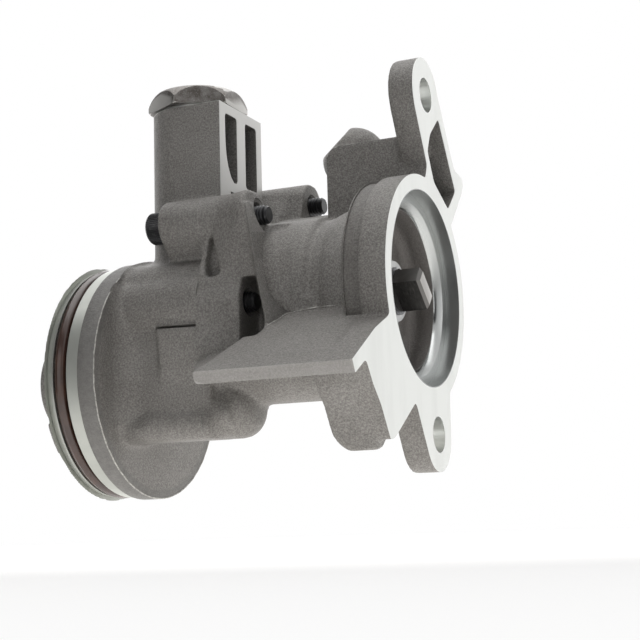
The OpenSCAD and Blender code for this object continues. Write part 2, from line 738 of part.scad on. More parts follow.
module relief_piston() {
    r = valve_bore_r - run_gap;
    wall = 2.5;
    crown = 4;
    color([0.62, 0.62, 0.63]) translate([valve_x, 0, seat_z + seat_gap]) difference() {
        rotate_extrude() polygon([[0, 0], [r - 1.5, 0], [r, 1.5], [r, piston_l], [r - wall, piston_l], [r - wall, crown], [0, crown]]);
        translate([0, 0, -over]) cylinder(r = 1.5, h = 8);
        for (z = [8, 14]) translate([0, 0, z]) difference() {
            cylinder(r = r + over, h = 1);
            translate([0, 0, -over]) cylinder(r = r - 0.6, h = 3);
        }
    }
}

// Place on the spring's centre line, with one flat turn shared between its two ends
function spring_angle(u) = 360 * (spring_turns + 1.5) * u;
function spring_rise(u) = u < 0.1 ? 0 : u > 0.9 ? 1 : (u - 0.1) / 0.8;
function spring_point(u) = [spring_r * cos(spring_angle(u)), spring_r * sin(spring_angle(u)),
                            spring_z0 + wire_r + (spring_z1 - spring_z0 - 2 * wire_r) * spring_rise(u)];

// Sweep of a round wire along the spring's centre line
module relief_spring() {
    sides = 8;
    rings = 14 * spring_turns;
    points = [for (i = [0:rings]) let (a = spring_angle(i / rings), c = spring_point(i / rings))
              for (k = [0:sides - 1]) let (b = 360 * k / sides)
              c + wire_r * (cos(b) * [cos(a), sin(a), 0] + sin(b) * [0, 0, 1])];
    walls = [for (i = [0:rings - 1]) for (k = [0:sides - 1]) let (n = (k + 1) % sides)
             [i * sides + k, i * sides + n, (i + 1) * sides + n, (i + 1) * sides + k]];
    foot = [for (k = [sides - 1:-1:0]) k];
    head = [for (k = [0:sides - 1]) rings * sides + k];
    color([0.35, 0.35, 0.36]) translate([valve_x, 0, 0]) polyhedron(points, concat(walls, [foot, head]), convexity = 8);
}

// Flanged pin that centres the spring in the plug
module spring_guide() {
    pin_r = spring_r / 2;
    pin_l = 9;
    color([0.60, 0.60, 0.62]) translate([valve_x, 0, spring_z1]) rotate_extrude()
        polygon([[0, -pin_l], [pin_r - 0.5, -pin_l], [pin_r, -pin_l + 0.5], [pin_r, 0], [plug_bore_r - 0.2, 0],
                 [plug_bore_r - 0.2, guide_t], [0, guide_t]]);
}

module relief_plug() {
    skirt_r = valve_bore_r - seat_gap;
    corner_r = plug_af / 2 / cos(30);
    skirt_z0 = tower_top - plug_skirt_l;
    color([0.40, 0.40, 0.41]) translate([valve_x, 0, 0]) difference() {
        union() {
            translate([0, 0, plug_seat]) rotate(plug_turn) intersection() {
                cylinder(r = corner_r, h = plug_head_h, $fn = 6);
                rotate_extrude() polygon([[0, 0], [corner_r - 1, 0], [corner_r + 1, 1.2], [corner_r + 1, plug_head_h - 2],
                                          [corner_r - 2.8, plug_head_h], [0, plug_head_h]]);
            }
            translate([0, 0, skirt_z0]) cylinder(r = skirt_r, h = plug_seat - skirt_z0 + bite);
        }
        translate([0, 0, skirt_z0 - over]) cylinder(r = plug_bore_r, h = spring_z1 + guide_t + 0.1 - skirt_z0 + over);
    }
}

module plug_washer() {
    color([0.62, 0.60, 0.56]) translate([valve_x, 0, tower_top]) difference() {
        cylinder(r = plug_af / 2 - 1.6, h = washer_t);
        translate([0, 0, -over]) cylinder(r = valve_bore_r, h = washer_t + 2 * over);
    }
}

module spigot_seal() {
    color([0.20, 0.10, 0.07]) translate([band_x0 - 1.5 - seal_r, spigot_at[0], spigot_at[1]]) rotate([0, 90, 0])
        rotate_extrude() translate([spigot_r - seal_r - 0.1, 0]) circle(seal_r, $fn = 32);
}

// Fasteners

// Socket head screw, from the seat of its head towards +X
module cap_screw(at, seat_x, l) {
    edge = 0.6;
    tip = 0.8;
    difference() {
        union() {
            cone(at, head_r - edge, head_r, seat_x - head_h, seat_x - head_h + edge);
            rod(at, head_r, seat_x - head_h + edge, seat_x);
            rod(at, screw_r, seat_x - bite, seat_x + l - tip);
            cone(at, screw_r, screw_r - tip, seat_x + l - tip, seat_x + l);
        }
        translate([seat_x - head_h - over, at[0], at[1]]) rotate([0, 90, 0]) cylinder(r = screw_r * 0.87, h = screw_r + over, $fn = 6);
    }
}

module short_screws() {
    color([0.12, 0.12, 0.13]) for (p = short_at) cap_screw(p, short_seat_x, short_screw_l);
}

module long_screws() {
    color([0.12, 0.12, 0.13]) for (p = long_at) cap_screw(p, long_seat_x, long_screw_l);
}

module dowel_pins() {
    color([0.58, 0.58, 0.60]) for (p = dowel_at) rod(p, dowel_r, joint_x - dowel_l / 2, joint_x + dowel_l / 2);
}

pump_body();
gear_housing();
drive_shaft();
drive_gear();
gear_key();
idler_shaft();
idler_gear();
neck_bush();
joint_bush();
end_bush();
idler_bush();
shaft_snap_ring();
shaft_washer();
relief_piston();
relief_spring();
spring_guide();
relief_plug();
plug_washer();
spigot_seal();
short_screws();
long_screws();
dowel_pins();
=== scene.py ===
# Engine oil pump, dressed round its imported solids. One unit is one metre, and the frame is the CAD model's:
# the origin is the centre of the drive opening on the flange face, +X leaves the flange, and +Z runs up the
# tower of the relief valve.
import math

import bpy
import numpy as np
from mathutils import Matrix, Vector


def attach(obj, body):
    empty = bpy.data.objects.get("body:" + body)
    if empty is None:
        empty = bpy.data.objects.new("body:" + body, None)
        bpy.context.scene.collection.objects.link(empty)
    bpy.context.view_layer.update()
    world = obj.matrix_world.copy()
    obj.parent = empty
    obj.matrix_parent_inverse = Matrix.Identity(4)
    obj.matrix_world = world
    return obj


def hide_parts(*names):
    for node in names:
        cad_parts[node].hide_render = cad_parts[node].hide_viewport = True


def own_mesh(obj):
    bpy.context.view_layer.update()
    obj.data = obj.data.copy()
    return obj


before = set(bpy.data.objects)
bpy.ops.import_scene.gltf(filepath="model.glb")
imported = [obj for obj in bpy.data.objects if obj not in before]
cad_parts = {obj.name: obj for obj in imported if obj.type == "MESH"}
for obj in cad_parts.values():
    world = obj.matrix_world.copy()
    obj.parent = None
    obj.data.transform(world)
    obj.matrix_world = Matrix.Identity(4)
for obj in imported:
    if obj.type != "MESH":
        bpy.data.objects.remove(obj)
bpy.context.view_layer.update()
bpy.ops.object.select_all(action="DESELECT")

# Camera. It stands a little below the pump, in front of the flange's near side, and looks slightly up.
# Its place and lens come from matching known circles and edges of the pump in the photograph.
camera = bpy.data.objects.new("camera", bpy.data.cameras.new("camera"))
bpy.context.scene.collection.objects.link(camera)
bpy.context.scene.camera = camera
right = Vector((0.91249, 0.40815, -0.02774))
up = Vector((0.08631, -0.12578, 0.98829))
back = Vector((0.39989, -0.90421, -0.15000))
stand = Vector((0.172586, -0.492833, -0.089653))
camera.matrix_world = Matrix(((right.x, up.x, back.x, stand.x), (right.y, up.y, back.y, stand.y),
                              (right.z, up.z, back.z, stand.z), (0, 0, 0, 1)))
# The photograph's side, focal length and optical middle, in its pixels
photo_side = 640
focal = 1374.93
photo_middle = (320.25, 318.6)
camera.data.sensor_width = 36
camera.data.lens = focal / photo_side * camera.data.sensor_width
camera.data.shift_x = (photo_side / 2 - photo_middle[0]) / photo_side
camera.data.shift_y = (photo_middle[1] - photo_side / 2) / photo_side
camera.data.clip_start = 0.01
bpy.context.scene.view_settings.view_transform = "Standard"

# Floor, backdrop and lamps. The floor is a plain pale sheet just below the camera, seen only from above.
# It takes the shadow, and large soft lamps stand round the pump as in a studio tent.
floor_z = -0.096
bpy.ops.mesh.primitive_plane_add(size=8, location=(0, 0, floor_z))
floor = bpy.context.object
floor.name = "floor"
paper = bpy.data.materials.new("floor_paper")
paper.use_nodes = True
nodes, links = paper.node_tree.nodes, paper.node_tree.links
matt = nodes["Principled BSDF"]
matt.inputs["Base Color"].default_value = (0.86, 0.86, 0.86, 1)
matt.inputs["Roughness"].default_value = 0.9
clear = nodes.new("ShaderNodeBsdfTransparent")
side = nodes.new("ShaderNodeNewGeometry")
one_side = nodes.new("ShaderNodeMixShader")
links.new(side.outputs["Backfacing"], one_side.inputs[0])
# Far from the pump the camera sees plain white paper, so that no horizon shows
glow = nodes.new("ShaderNodeEmission")
spot = nodes.new("ShaderNodeTexCoord")
far = nodes.new("ShaderNodeVectorMath")
far.operation = "LENGTH"
fade = nodes.new("ShaderNodeMapRange")
fade.inputs["From Min"].default_value = 0.2
fade.inputs["From Max"].default_value = 0.5
view_ray = nodes.new("ShaderNodeLightPath")
shown = nodes.new("ShaderNodeMath")
shown.operation = "MULTIPLY"
backdrop = nodes.new("ShaderNodeMixShader")
links.new(spot.outputs["Object"], far.inputs[0])
links.new(far.outputs["Value"], fade.inputs["Value"])
links.new(fade.outputs["Result"], shown.inputs[0])
links.new(view_ray.outputs["Is Camera Ray"], shown.inputs[1])
# Near the pump the paper itself glows and lights the pump from below in place of a lamp, and this glow fades
# away from the pump
near = nodes.new("ShaderNodeMapRange")
near.inputs["From Min"].default_value = 0.10
near.inputs["From Max"].default_value = 0.32
near.inputs["To Min"].default_value = 1.15
near.inputs["To Max"].default_value = 0.12
floor_glow = nodes.new("ShaderNodeEmission")
floor_glow.inputs["Color"].default_value = (1.0, 0.975, 0.94, 1)
lit = nodes.new("ShaderNodeAddShader")
links.new(far.outputs["Value"], near.inputs["Value"])
links.new(near.outputs["Result"], floor_glow.inputs["Strength"])
links.new(matt.outputs[0], lit.inputs[0])
links.new(floor_glow.outputs[0], lit.inputs[1])
links.new(shown.outputs[0], backdrop.inputs[0])
links.new(lit.outputs[0], backdrop.inputs[1])
links.new(glow.outputs[0], backdrop.inputs[2])
links.new(backdrop.outputs[0], one_side.inputs[1])
links.new(clear.outputs[0], one_side.inputs[2])
links.new(one_side.outputs[0], nodes["Material Output"].inputs["Surface"])
floor.data.materials.append(paper)

world = bpy.data.worlds.new("studio")
bpy.context.scene.world = world
world.use_nodes = True
nodes, links = world.node_tree.nodes, world.node_tree.links
ambient = nodes["Background"]
ambient.inputs["Color"].default_value = (0.12, 0.12, 0.12, 1)
white = nodes.new("ShaderNodeBackground")
white.inputs["Color"].default_value = (1, 1, 1, 1)
ray = nodes.new("ShaderNodeLightPath")
seen = nodes.new("ShaderNodeMath")
seen.operation = "MAXIMUM"
links.new(ray.outputs["Is Camera Ray"], seen.inputs[0])
links.new(ray.outputs["Is Transmission Ray"], seen.inputs[1])
also = nodes.new("ShaderNodeMath")
also.operation = "MAXIMUM"
links.new(seen.outputs[0], also.inputs[0])
links.new(ray.outputs["Is Glossy Ray"], also.inputs[1])
choose = nodes.new("ShaderNodeMixShader")
links.new(also.outputs[0], choose.inputs[0])
links.new(ambient.outputs[0], choose.inputs[1])
links.new(white.outputs[0], choose.inputs[2])
links.new(choose.outputs[0], nodes["World Output"].inputs["Surface"])

pump_middle = Vector((-0.07, 0, 0))
lamps = (("right_lamp", (1.0, 0.22, 0.12), 1.2, 3.3),
         ("left_lamp", (-0.85, 0.6, 0.15), 1.1, 6.0),
         ("top_lamp", (-0.1, 0.0, 0.95), 1.2, 8.0),
         ("back_lamp", (-0.2, 0.9, 0.3), 0.9, 3.0),
         ("front_lamp", (0.0, -0.85, 0.05), 0.7, 1.8))
for name, place, size, watts in lamps:
    lamp = bpy.data.objects.new(name, bpy.data.lights.new(name, "AREA"))
    bpy.context.scene.collection.objects.link(lamp)
    lamp.data.size = size
    lamp.data.energy = watts
    lamp.location = place
    lamp.rotation_euler = (Vector(place) - pump_middle).to_track_quat("Z", "Y").to_euler()
# Dark cards on the camera's side of the tent keep the near faces in tone, and no camera sees them
felt = bpy.data.materials.new("card_felt")
felt.use_nodes = True
dark_cloth = felt.node_tree.nodes["Principled BSDF"]
dark_cloth.inputs["Base Color"].default_value = (0.01, 0.01, 0.01, 1)
dark_cloth.inputs["Roughness"].default_value = 1.0
quarter = math.pi / 2
cards = (("near_card", (0.1, -0.95, 0.35), (quarter, 0, 0), (1.7, 1.1, 1)),
         ("left_card", (-0.9, -0.35, 0.35), (quarter, 0, quarter), (1.1, 1.1, 1)))
for name, place, turn, size in cards:
    bpy.ops.mesh.primitive_plane_add(size=1, location=place, rotation=turn)
    card = bpy.context.object
    card.name = name
    card.scale = size
    bpy.ops.object.transform_apply(location=True, rotation=True, scale=True)
    card.visible_camera = False
    card.data.materials.append(felt)

# Pump body. A sand-cast aluminium piece with the flange, the drive neck, the inlet duct and the angled fin.
# Its skin is blasted and keeps soft fillets everywhere, and the flange face and bores are machined afterwards.
MM = 0.001


class Value:
    """An output of a node in a finish. Arithmetic on it adds Math nodes."""

    def __init__(self, finish, socket):
        self.finish = finish
        self.socket = socket

    def math(self, operation, *inputs, clamp=False):
        settings = {"operation": operation, "use_clamp": clamp}
        return self.finish.node("Math", settings, dict(enumerate(inputs)))

    def __add__(self, other):
        return self.math("ADD", self, other)

    def __sub__(self, other):
        return self.math("SUBTRACT", self, other)

    def __mul__(self, other):
        return self.math("MULTIPLY", self, other)

    def __truediv__(self, other):
        return self.math("DIVIDE", self, other)

    def __rsub__(self, other):
        return self.math("SUBTRACT", other, self)

    __radd__ = __add__
    __rmul__ = __mul__

    def root(self):
        return self.math("SQRT", self)

    def size(self):
        return self.math("ABSOLUTE", self)

    def clamped(self):
        return self.math("ADD", self, 0.0, clamp=True)

    def most(self, other):
        return self.math("MAXIMUM", self, other)

    def sine(self):
        return self.math("SINE", self)

    def above(self, edge, soft=0.0001):
        """1 where the value is above the edge, 0 below it, with a soft step between."""
        return ((self - edge) / soft + 0.5).clamped()

    def below(self, edge, soft=0.0001):
        return ((edge - self) / soft + 0.5).clamped()


class Finish:
    """A material with one Principled shader. Values that are the same all over are set by name."""

    def __init__(self, name, **settings):
        self.material = bpy.data.materials.new(name)
        self.material.use_nodes = True
        self.tree = self.material.node_tree
        self.shader = self.tree.nodes["Principled BSDF"]
        for key, value in settings.items():
            self.shader.inputs[key.replace("_", " ")].default_value = value
        place = self.tree.nodes.new("ShaderNodeTexCoord").outputs["Object"]
        self.place = Value(self, place)
        self.x, self.y, self.z = (self.node("SeparateXYZ", {}, {0: self.place}, axis) for axis in range(3))

    def node(self, kind, settings, inputs, output=0):
        made = self.tree.nodes.new("ShaderNode" + kind)
        for key, value in settings.items():
            setattr(made, key, value)
        for key, value in inputs.items():
            if isinstance(value, Value):
                self.tree.links.new(value.socket, made.inputs[key])
            else:
                made.inputs[key].default_value = value
        return Value(self, made.outputs[output])

    def noise(self, scale, detail, roughness, at=None):
        sockets = {"Vector": at or self.place, "Scale": scale, "Detail": detail, "Roughness": roughness}
        return self.node("TexNoise", {}, sockets)

    def stretched(self, scale):
        """The place in the piece, scaled by three numbers, for streaks and brush marks."""
        return self.node("Mapping", {}, {"Vector": self.place, "Scale": scale})

    def blend(self, factor, one, other):
        return self.node("Mix", {"data_type": "RGBA"}, {0: factor, 6: one, 7: other}, 2)

    def bump(self, height, distance, strength):
        return self.node("Bump", {}, {"Height": height, "Distance": distance, "Strength": strength})

    def feed(self, **values):
        for key, value in values.items():
            socket = self.shader.inputs[key.replace("_", " ")]
            if isinstance(value, Value):
                self.tree.links.new(value.socket, socket)
            else:
                socket.default_value = value

    def from_axis(self, y, z):
        """Distance from a line along X through the given y and z."""
        return ((self.y - y) * (self.y - y) + (self.z - z) * (self.z - z)).root()


def activate(piece):
    bpy.ops.object.select_all(action="DESELECT")
    piece.select_set(True)
    bpy.context.view_layer.objects.active = piece


def apply(piece, kind, **settings):
    """Adds a modifier with these settings and applies it."""
    activate(piece)
    made = piece.modifiers.new(kind.lower(), kind)
    for key, value in settings.items():
        setattr(made, key, value)
    bpy.ops.object.modifier_apply(modifier=made.name)


def settle(piece):
    """Takes the object's place, turn and scale into its mesh."""
    activate(piece)
    bpy.ops.object.transform_apply(location=True, rotation=True, scale=True)
    return piece


def merged_copy(node, name):
    """A copy of a CAD node with its loose triangles merged into one skin."""
    piece = bpy.data.objects.new(name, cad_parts[node].data.copy())
    bpy.context.scene.collection.objects.link(piece)
    piece.data.materials.clear()
    activate(piece)
    bpy.ops.mesh.customdata_custom_splitnormals_clear()
    bpy.ops.object.mode_set(mode="EDIT")
    bpy.ops.mesh.select_all(action="SELECT")
    bpy.ops.mesh.remove_doubles(threshold=1e-6)
    bpy.ops.object.mode_set(mode="OBJECT")
    return piece


def rod(at, r, x0, x1, steps=96):
    """A round bar along X, in millimetres, as a new object whose place is in its mesh."""
    middle = ((x0 + x1) / 2 * MM, at[0] * MM, at[1] * MM)
    bpy.ops.mesh.primitive_cylinder_add(vertices=steps, radius=r * MM, depth=(x1 - x0) * MM, location=middle,
                                        rotation=(0, math.pi / 2, 0))
    return settle(bpy.context.object)


def block(low, high, edge=0.0, turn=0.0):
    """A rectangular block between two corners. Its long edges along X can be rounded, and it can be turned
    about X, in degrees."""
    size = [(b - a) * MM for a, b in zip(low, high)]
    bpy.ops.mesh.primitive_cube_add(size=1, location=[(a + b) / 2 * MM for a, b in zip(low, high)], scale=size)
    piece = settle(bpy.context.object)
    if edge:
        bpy.ops.object.mode_set(mode="EDIT")
        bpy.ops.mesh.select_all(action="DESELECT")
        bpy.ops.object.mode_set(mode="OBJECT")
        for line in piece.data.edges:
            a, b = (piece.data.vertices[i].co for i in line.vertices)
            line.select = abs(a.x - b.x) > 0.5 * size[0]
        bpy.ops.object.mode_set(mode="EDIT")
        bpy.ops.mesh.select_mode(type="EDGE")
        bpy.ops.mesh.bevel(offset=edge * MM, segments=5)
        bpy.ops.object.mode_set(mode="OBJECT")
    if turn:
        piece.rotation_euler.x = math.radians(turn)
        settle(piece)
    return piece


def arc(cx, cr, r, start, end, steps=8):
    """Points of an arc in a turned profile, as distances along the axis and radii."""
    angles = [math.radians(start + (end - start) * i / steps) for i in range(steps + 1)]
    return [(cx + r * math.cos(a), cr + r * math.sin(a)) for a in angles]


def turned(at, profile, steps=128, upright=False):
    """A solid turned about X, or about Z where it is upright. A disc is extruded along that axis, and widened
    from point to point of the profile, whose points are a distance along the axis and a radius."""
    def on_axis(along):
        return (at[0] * MM, at[1] * MM, along * MM) if upright else (along * MM, at[0] * MM, at[1] * MM)

    along, r = profile[0]
    bpy.ops.mesh.primitive_circle_add(vertices=steps, radius=r * MM, fill_type="NGON", location=on_axis(along),
                                      rotation=(0, 0 if upright else math.pi / 2, 0))
    piece = settle(bpy.context.object)
    bpy.ops.object.mode_set(mode="EDIT")
    bpy.ops.mesh.select_mode(type="FACE")
    bpy.ops.mesh.select_all(action="SELECT")
    for next_along, next_r in profile[1:]:
        move, grow = (next_along - along) * MM, next_r / r
        step = (0, 0, move) if upright else (move, 0, 0)
        bpy.ops.mesh.extrude_region_move(TRANSFORM_OT_translate={"value": step})
        bpy.ops.transform.resize(value=(grow, grow, 1) if upright else (1, grow, grow),
                                 center_override=on_axis(next_along))
        along, r = next_along, next_r
    bpy.ops.mesh.select_all(action="SELECT")
    bpy.ops.mesh.normals_make_consistent(inside=False)
    bpy.ops.object.mode_set(mode="OBJECT")
    return piece


def hull(points):
    """The solid stretched round some points, in millimetres."""
    made = bpy.data.meshes.new("hull")
    made.from_pydata([[number * MM for number in point] for point in points], [], [])
    piece = bpy.data.objects.new("hull", made)
    bpy.context.scene.collection.objects.link(piece)
    activate(piece)
    bpy.ops.object.mode_set(mode="EDIT")
    bpy.ops.mesh.select_all(action="SELECT")
    bpy.ops.mesh.convex_hull()
    bpy.ops.mesh.normals_make_consistent(inside=False)
    bpy.ops.object.mode_set(mode="OBJECT")
    return piece


def circle(at, r, x, count=20):
    """Points of a circle across the X axis, for a hull."""
    turns = [2 * math.pi * i / count for i in range(count)]
    return [(x, at[0] + r * math.cos(a), at[1] + r * math.sin(a)) for a in turns]


def join(piece, others):
    activate(piece)
    for other in others:
        other.select_set(True)
    bpy.ops.object.join()


def cut(piece, tools, operation="DIFFERENCE"):
    """Machines the piece with each tool in turn, and takes the tool away."""
    for tool in tools:
        apply(piece, "BOOLEAN", operation=operation, solver="MANIFOLD", object=tool)
        bpy.data.objects.remove(tool)


def push_face(piece, axis, plane, by):
    """Moves the corners that lie in a plane, so that a casting stands proud where it is machined later."""
    places = np.empty(len(piece.data.vertices) * 3)
    piece.data.vertices.foreach_get("co", places)
    places = places.reshape(-1, 3)
    flat = np.abs(places[:, axis] - plane * MM) < 2e-5
    places[flat, axis] += by * MM
    piece.data.vertices.foreach_set("co", places.ravel())
    piece.data.update()


def cast_skin(piece, grid, rounds, hollow, ridge):
    """Remeshes a casting on a fine grid, then smooths it in rounds: hollows fill to fillets, and ridges wear
    only a little."""
    apply(piece, "REMESH", mode="VOXEL", voxel_size=grid * MM, adaptivity=0.0)
    mesh = piece.data
    count = len(mesh.vertices)
    places = np.empty(count * 3)
    mesh.vertices.foreach_get("co", places)
    places = places.reshape(-1, 3)
    edges = np.empty(len(mesh.edges) * 2, dtype=np.int64)
    mesh.edges.foreach_get("vertices", edges)
    edges = edges.reshape(-1, 2)
    corners = np.empty(len(mesh.loops), dtype=np.int64)
    mesh.loops.foreach_get("vertex_index", corners)
    quads = corners.reshape(-1, 4)
    around = np.bincount(edges.ravel(), minlength=count)[:, None]
    for _ in range(rounds):
        total = np.empty_like(places)
        for axis in range(3):
            total[:, axis] = (np.bincount(edges[:, 0], places[edges[:, 1], axis], count)
                              + np.bincount(edges[:, 1], places[edges[:, 0], axis], count))
        step = total / around - places
        facing = np.cross(places[quads[:, 2]] - places[quads[:, 0]], places[quads[:, 3]] - places[quads[:, 1]])
        normal = np.zeros_like(places)
        for axis in range(3):
            for corner in range(4):
                normal[:, axis] += np.bincount(quads[:, corner], facing[:, axis], count)
        normal /= np.maximum(np.linalg.norm(normal, axis=1, keepdims=True), 1e-20)
        rise = np.sum(step * normal, axis=1, keepdims=True)
        places += step * np.where(rise > 0, hollow, ridge)
    mesh.vertices.foreach_set("co", places.ravel())
    mesh.update()


def thin_out(piece, triangles):
    """Takes corners away where the skin is nearly flat, down to this many triangles."""
    piece.data.calc_loop_triangles()
    now = len(piece.data.loop_triangles)
    if now > triangles:
        apply(piece, "DECIMATE", decimate_type="COLLAPSE", ratio=triangles / now)


def finish_piece(piece, material, slot, body, *nodes, angle=35):
    """Gives the whole piece one material and smooth shading, and sets it in the place of its CAD nodes."""
    piece.data.materials.clear()
    piece.data.materials.append(material)
    piece.data.polygons.foreach_set("material_index", np.zeros(len(piece.data.polygons), dtype=np.int32))
    activate(piece)
    bpy.ops.object.shade_smooth_by_angle(angle=math.radians(angle))
    if nodes:
        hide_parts(*nodes)
    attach(piece, body)


joint_x = -83.0
boss_x = -62.0
shaft_r = 7.75
bush_r = 9.25
idler_r = 6.52
tap_r = 4.02
dowel_r = 3.02
ear_holes = ((6.8, 78.8), (6.8, -55.9))
short_at = ((-21, 31.5), (33, 46))
long_at = ((-25.006, -3.012), (25.504, -5.015), (31, -27.5))
dowel_at = ((-13, 24), (-21.5, -45))
drive_at = (0, 0)
idler_at = (-7.952, -26.847)
# What a casting stands proud of its machined faces, and a length past the whole pump, for milling tools
proud = 2.4
beyond = 200
most_triangles = 192000

body = merged_copy("pump_body", "body_casting")
push_face(body, 0, 0.0, proud)
push_face(body, 0, joint_x, -proud)
# Bores whose walls are cast shut here and drilled cleanly afterwards, as centre, radius, first x and last x
cast_end = joint_x - proud
drilled = [(drive_at, bush_r, -36, -14.5), (drive_at, bush_r, cast_end, -63),
           (idler_at, idler_r, cast_end, -69)]
drilled += [(at, tap_r, cast_end, boss_x - 1) for at in short_at]
drilled += [(at, tap_r, cast_end, boss_x - 3) for at in long_at]
drilled += [(at, dowel_r, cast_end, -75.5) for at in dowel_at]
fillers = [rod(at, r + 0.5, x0, x1) for at, r, x0, x1 in drilled]
fillers += [rod(at, 7.4, -10.2, proud) for at in ear_holes]
fillers += [rod(drive_at, 39.5, -16.5, proud), rod(drive_at, 32.5, -22.0, proud)]
# The fin's near edge, left long here and milled off afterwards
fin_edge = (-77.2, -35.1)
fin_slope = math.radians(28.7)
along_fin = (math.cos(fin_slope), math.sin(fin_slope))


def fin_bar(start, end, x0, x1, low=-4.8, high=0.0):
    """A bar along the fin's near edge. Start and end are distances down the slope from that edge."""
    corners = [(fin_edge[0] - along_fin[0] * a - along_fin[1] * b,
                fin_edge[1] - along_fin[1] * a + along_fin[0] * b)
               for a in (start, end) for b in (low, high)]
    return hull([(x, y, z) for x in (x0, x1) for y, z in corners])


fillers += [fin_bar(-1.5, 2.6, -60.5, proud)]
# A boss round the lower dowel, so that its hole stays closed
fillers += [rod(dowel_at[1], 5.8, cast_end, -72.5)]
# More metal on the web beside the near bosses, dressed flat afterwards on the side of the flange
fillers += [hull([(-58, -31, 31), (-57.5, -24, 32), (-62, -24, 30), (-62, -31, 30),
                  (-46, -38.5, -16.5), (-41.5, -26, -9), (-51.5, -36, -15), (-51.5, -26, -12)])]
# Crown of the inlet block's dome, which the pattern leaves flatter on the side of the tower
dome_rings = ((13.4, 60.2), (13.3, 63.5), (12.2, 67.3), (10, 70.6), (6.8, 73.2), (3, 74.7))
dome = hull([(-38 + r * math.cos(a), 24 + r * math.sin(a), z) for r, z in dome_rings
             for a in (2 * math.pi * i / 32 for i in range(32))])
flatter = [(-45.8, 5, 57.4), (-63.3, 45, 69.2), (-32.1, 5, 69.3), (-48.5, 45, 82.1)]
for piece in (dome, body):
    cut(piece, [hull(flatter + [(x - 40, y, z + 35) for x, y, z in flatter])])
# Roof of the inlet block over the port's passage, and the swell between joint and lobe
fillers += [block((-41, 8, 60.0), (-8, 41, 63.4)), dome]
fillers += [hull(circle((-24.5, -49), 6, joint_x) + circle((-13.5, -42), 11.8, joint_x + 9)
                 + circle((-13, -42), 11, joint_x + 12))]
# Valley cast round the neck, on the sides away from the duct and the fin
bpy.ops.mesh.primitive_torus_add(major_radius=33.1 * MM, minor_radius=3.0 * MM, major_segments=128,
                                 minor_segments=20, location=(-36 * MM, 0, 0), rotation=(0, math.pi / 2, 0))
valley = settle(bpy.context.object)
cut(valley, [block((-60, 2, -60), (0, 60, 60)), block((-60, -60, -60), (0, 60, -4))])
cut(body, [valley])
join(body, fillers)
cast_skin(body, grid=0.85, rounds=10, hollow=0.55, ridge=0.16)
cut(body, [fin_bar(0, 9, -64, 4, -30, 30)])
# The web's side towards the flange, dressed flat down to the neck and the fin
dressed_side = hull([(-60.6, -40, 38), (-60.6, -14, 38), (-30, -40, 38), (-30, -14, 38),
                     (-56.2, -40, 12), (-54.6, -22, 12), (-30, -40, 12), (-30, -22, 12),
                     (-48.5, -41, -15.4), (-43.6, -28, -7.8), (-30, -41, -14.6), (-30, -28, -7.6)])
cut(dressed_side, [rod(drive_at, 32.4, -70, -20, 128)])
cut(body, [dressed_side])
# Flange face and joint face, then the bores
cut(body, [block((0, -beyond, -beyond), (50, beyond, beyond)),
           block((-beyond, -beyond, -beyond), (joint_x, beyond, beyond))])
cut(body, [rod(at, 6.9, -60, 2) for at in ear_holes])
recess = [(2, 38.0), (-5.7, 38.0), (-5.7, 33.9), (-6.9, 32.7), (-8.7, 31.5)]
recess += arc(-14.5, 26.5, 5, 90, 180) + arc(-17.5, 15.4, 2, 180, 270, 5) + [(-14.6, 12.9), (-14, 12.3)]
cut(body, [turned(drive_at, recess, 160)])
past_joint = joint_x - 1
cut(body, [rod(drive_at, bush_r, -36, -10), rod(drive_at, shaft_r + 1, -82, -35),
           rod(drive_at, bush_r, past_joint, -63), rod(idler_at, idler_r, past_joint, -69)])
cut(body, [rod(at, tap_r, past_joint, -51.5) for at in short_at])
cut(body, [rod(at, tap_r, past_joint, -59) for at in long_at])
cut(body, [rod(at, dowel_r, past_joint, -75.5) for at in dowel_at])
# Room for the two near screw tips where the web runs past their bosses
cut(body, [rod(short_at[0], 7.2, boss_x + 0.1, boss_x + 12), rod(long_at[0], 6.2, boss_x - 1.9, boss_x + 2.5)])
# The step between the flange ring and the ring behind it is turned on the near side
step = rod(drive_at, 52, -17.2, -10.7, 160)
cut(step, [turned(drive_at, [(-30, 42.2), (-5, 42.2)], 160), block((-30, 0, -60), (0, 60, 60)),
           block((-30, -60, -60), (0, 60, -14.5))])
cut(body, [step])
# Countersunk mouths of the tapped holes
for places, face in ((short_at, boss_x), (long_at, boss_x - 2)):
    cut(body, [turned(at, [(face - 2.4, tap_r), (face, 5.6), (face + 3, 7.5)], 64) for at in places])
thin_out(body, most_triangles)


def blasted(finish):
    """The skin that blasting leaves on a sand casting, with painted highlights on its crests and painted shade
    in its hollows.
    """
    grain = finish.noise(1500, 4, 0.75)
    mottle = finish.noise(55, 4, 0.55)
    pits = finish.noise(900, 1, 0.5)
    skin = finish.blend(mottle.above(0.5, 0.35), (0.165, 0.156, 0.146, 1), (0.205, 0.197, 0.186, 1))
    skin = finish.blend(grain.above(0.56, 0.22) * 0.6, skin, (0.33, 0.32, 0.30, 1))
    skin = finish.blend(grain.below(0.44, 0.2) * 0.6, skin, (0.085, 0.08, 0.075, 1))
    skin = finish.blend(pits.below(0.30, 0.06) * 0.3, skin, (0.06, 0.055, 0.05, 1))
    # Pointiness paints a highlight on the crests and shade in the hollows, in place of light and shade
    pointiness_light_shade = finish.node("NewGeometry", {}, {}, "Pointiness")
    skin = finish.blend(pointiness_light_shade.above(0.565, 0.05) * 0.5, skin, (0.42, 0.41, 0.39, 1))
    skin = finish.blend(pointiness_light_shade.below(0.44, 0.06) * 0.45, skin, (0.05, 0.045, 0.04, 1))
    return skin, grain + pits * 0.6


cast = Finish("blasted_casting")
skin, roughcast = blasted(cast)
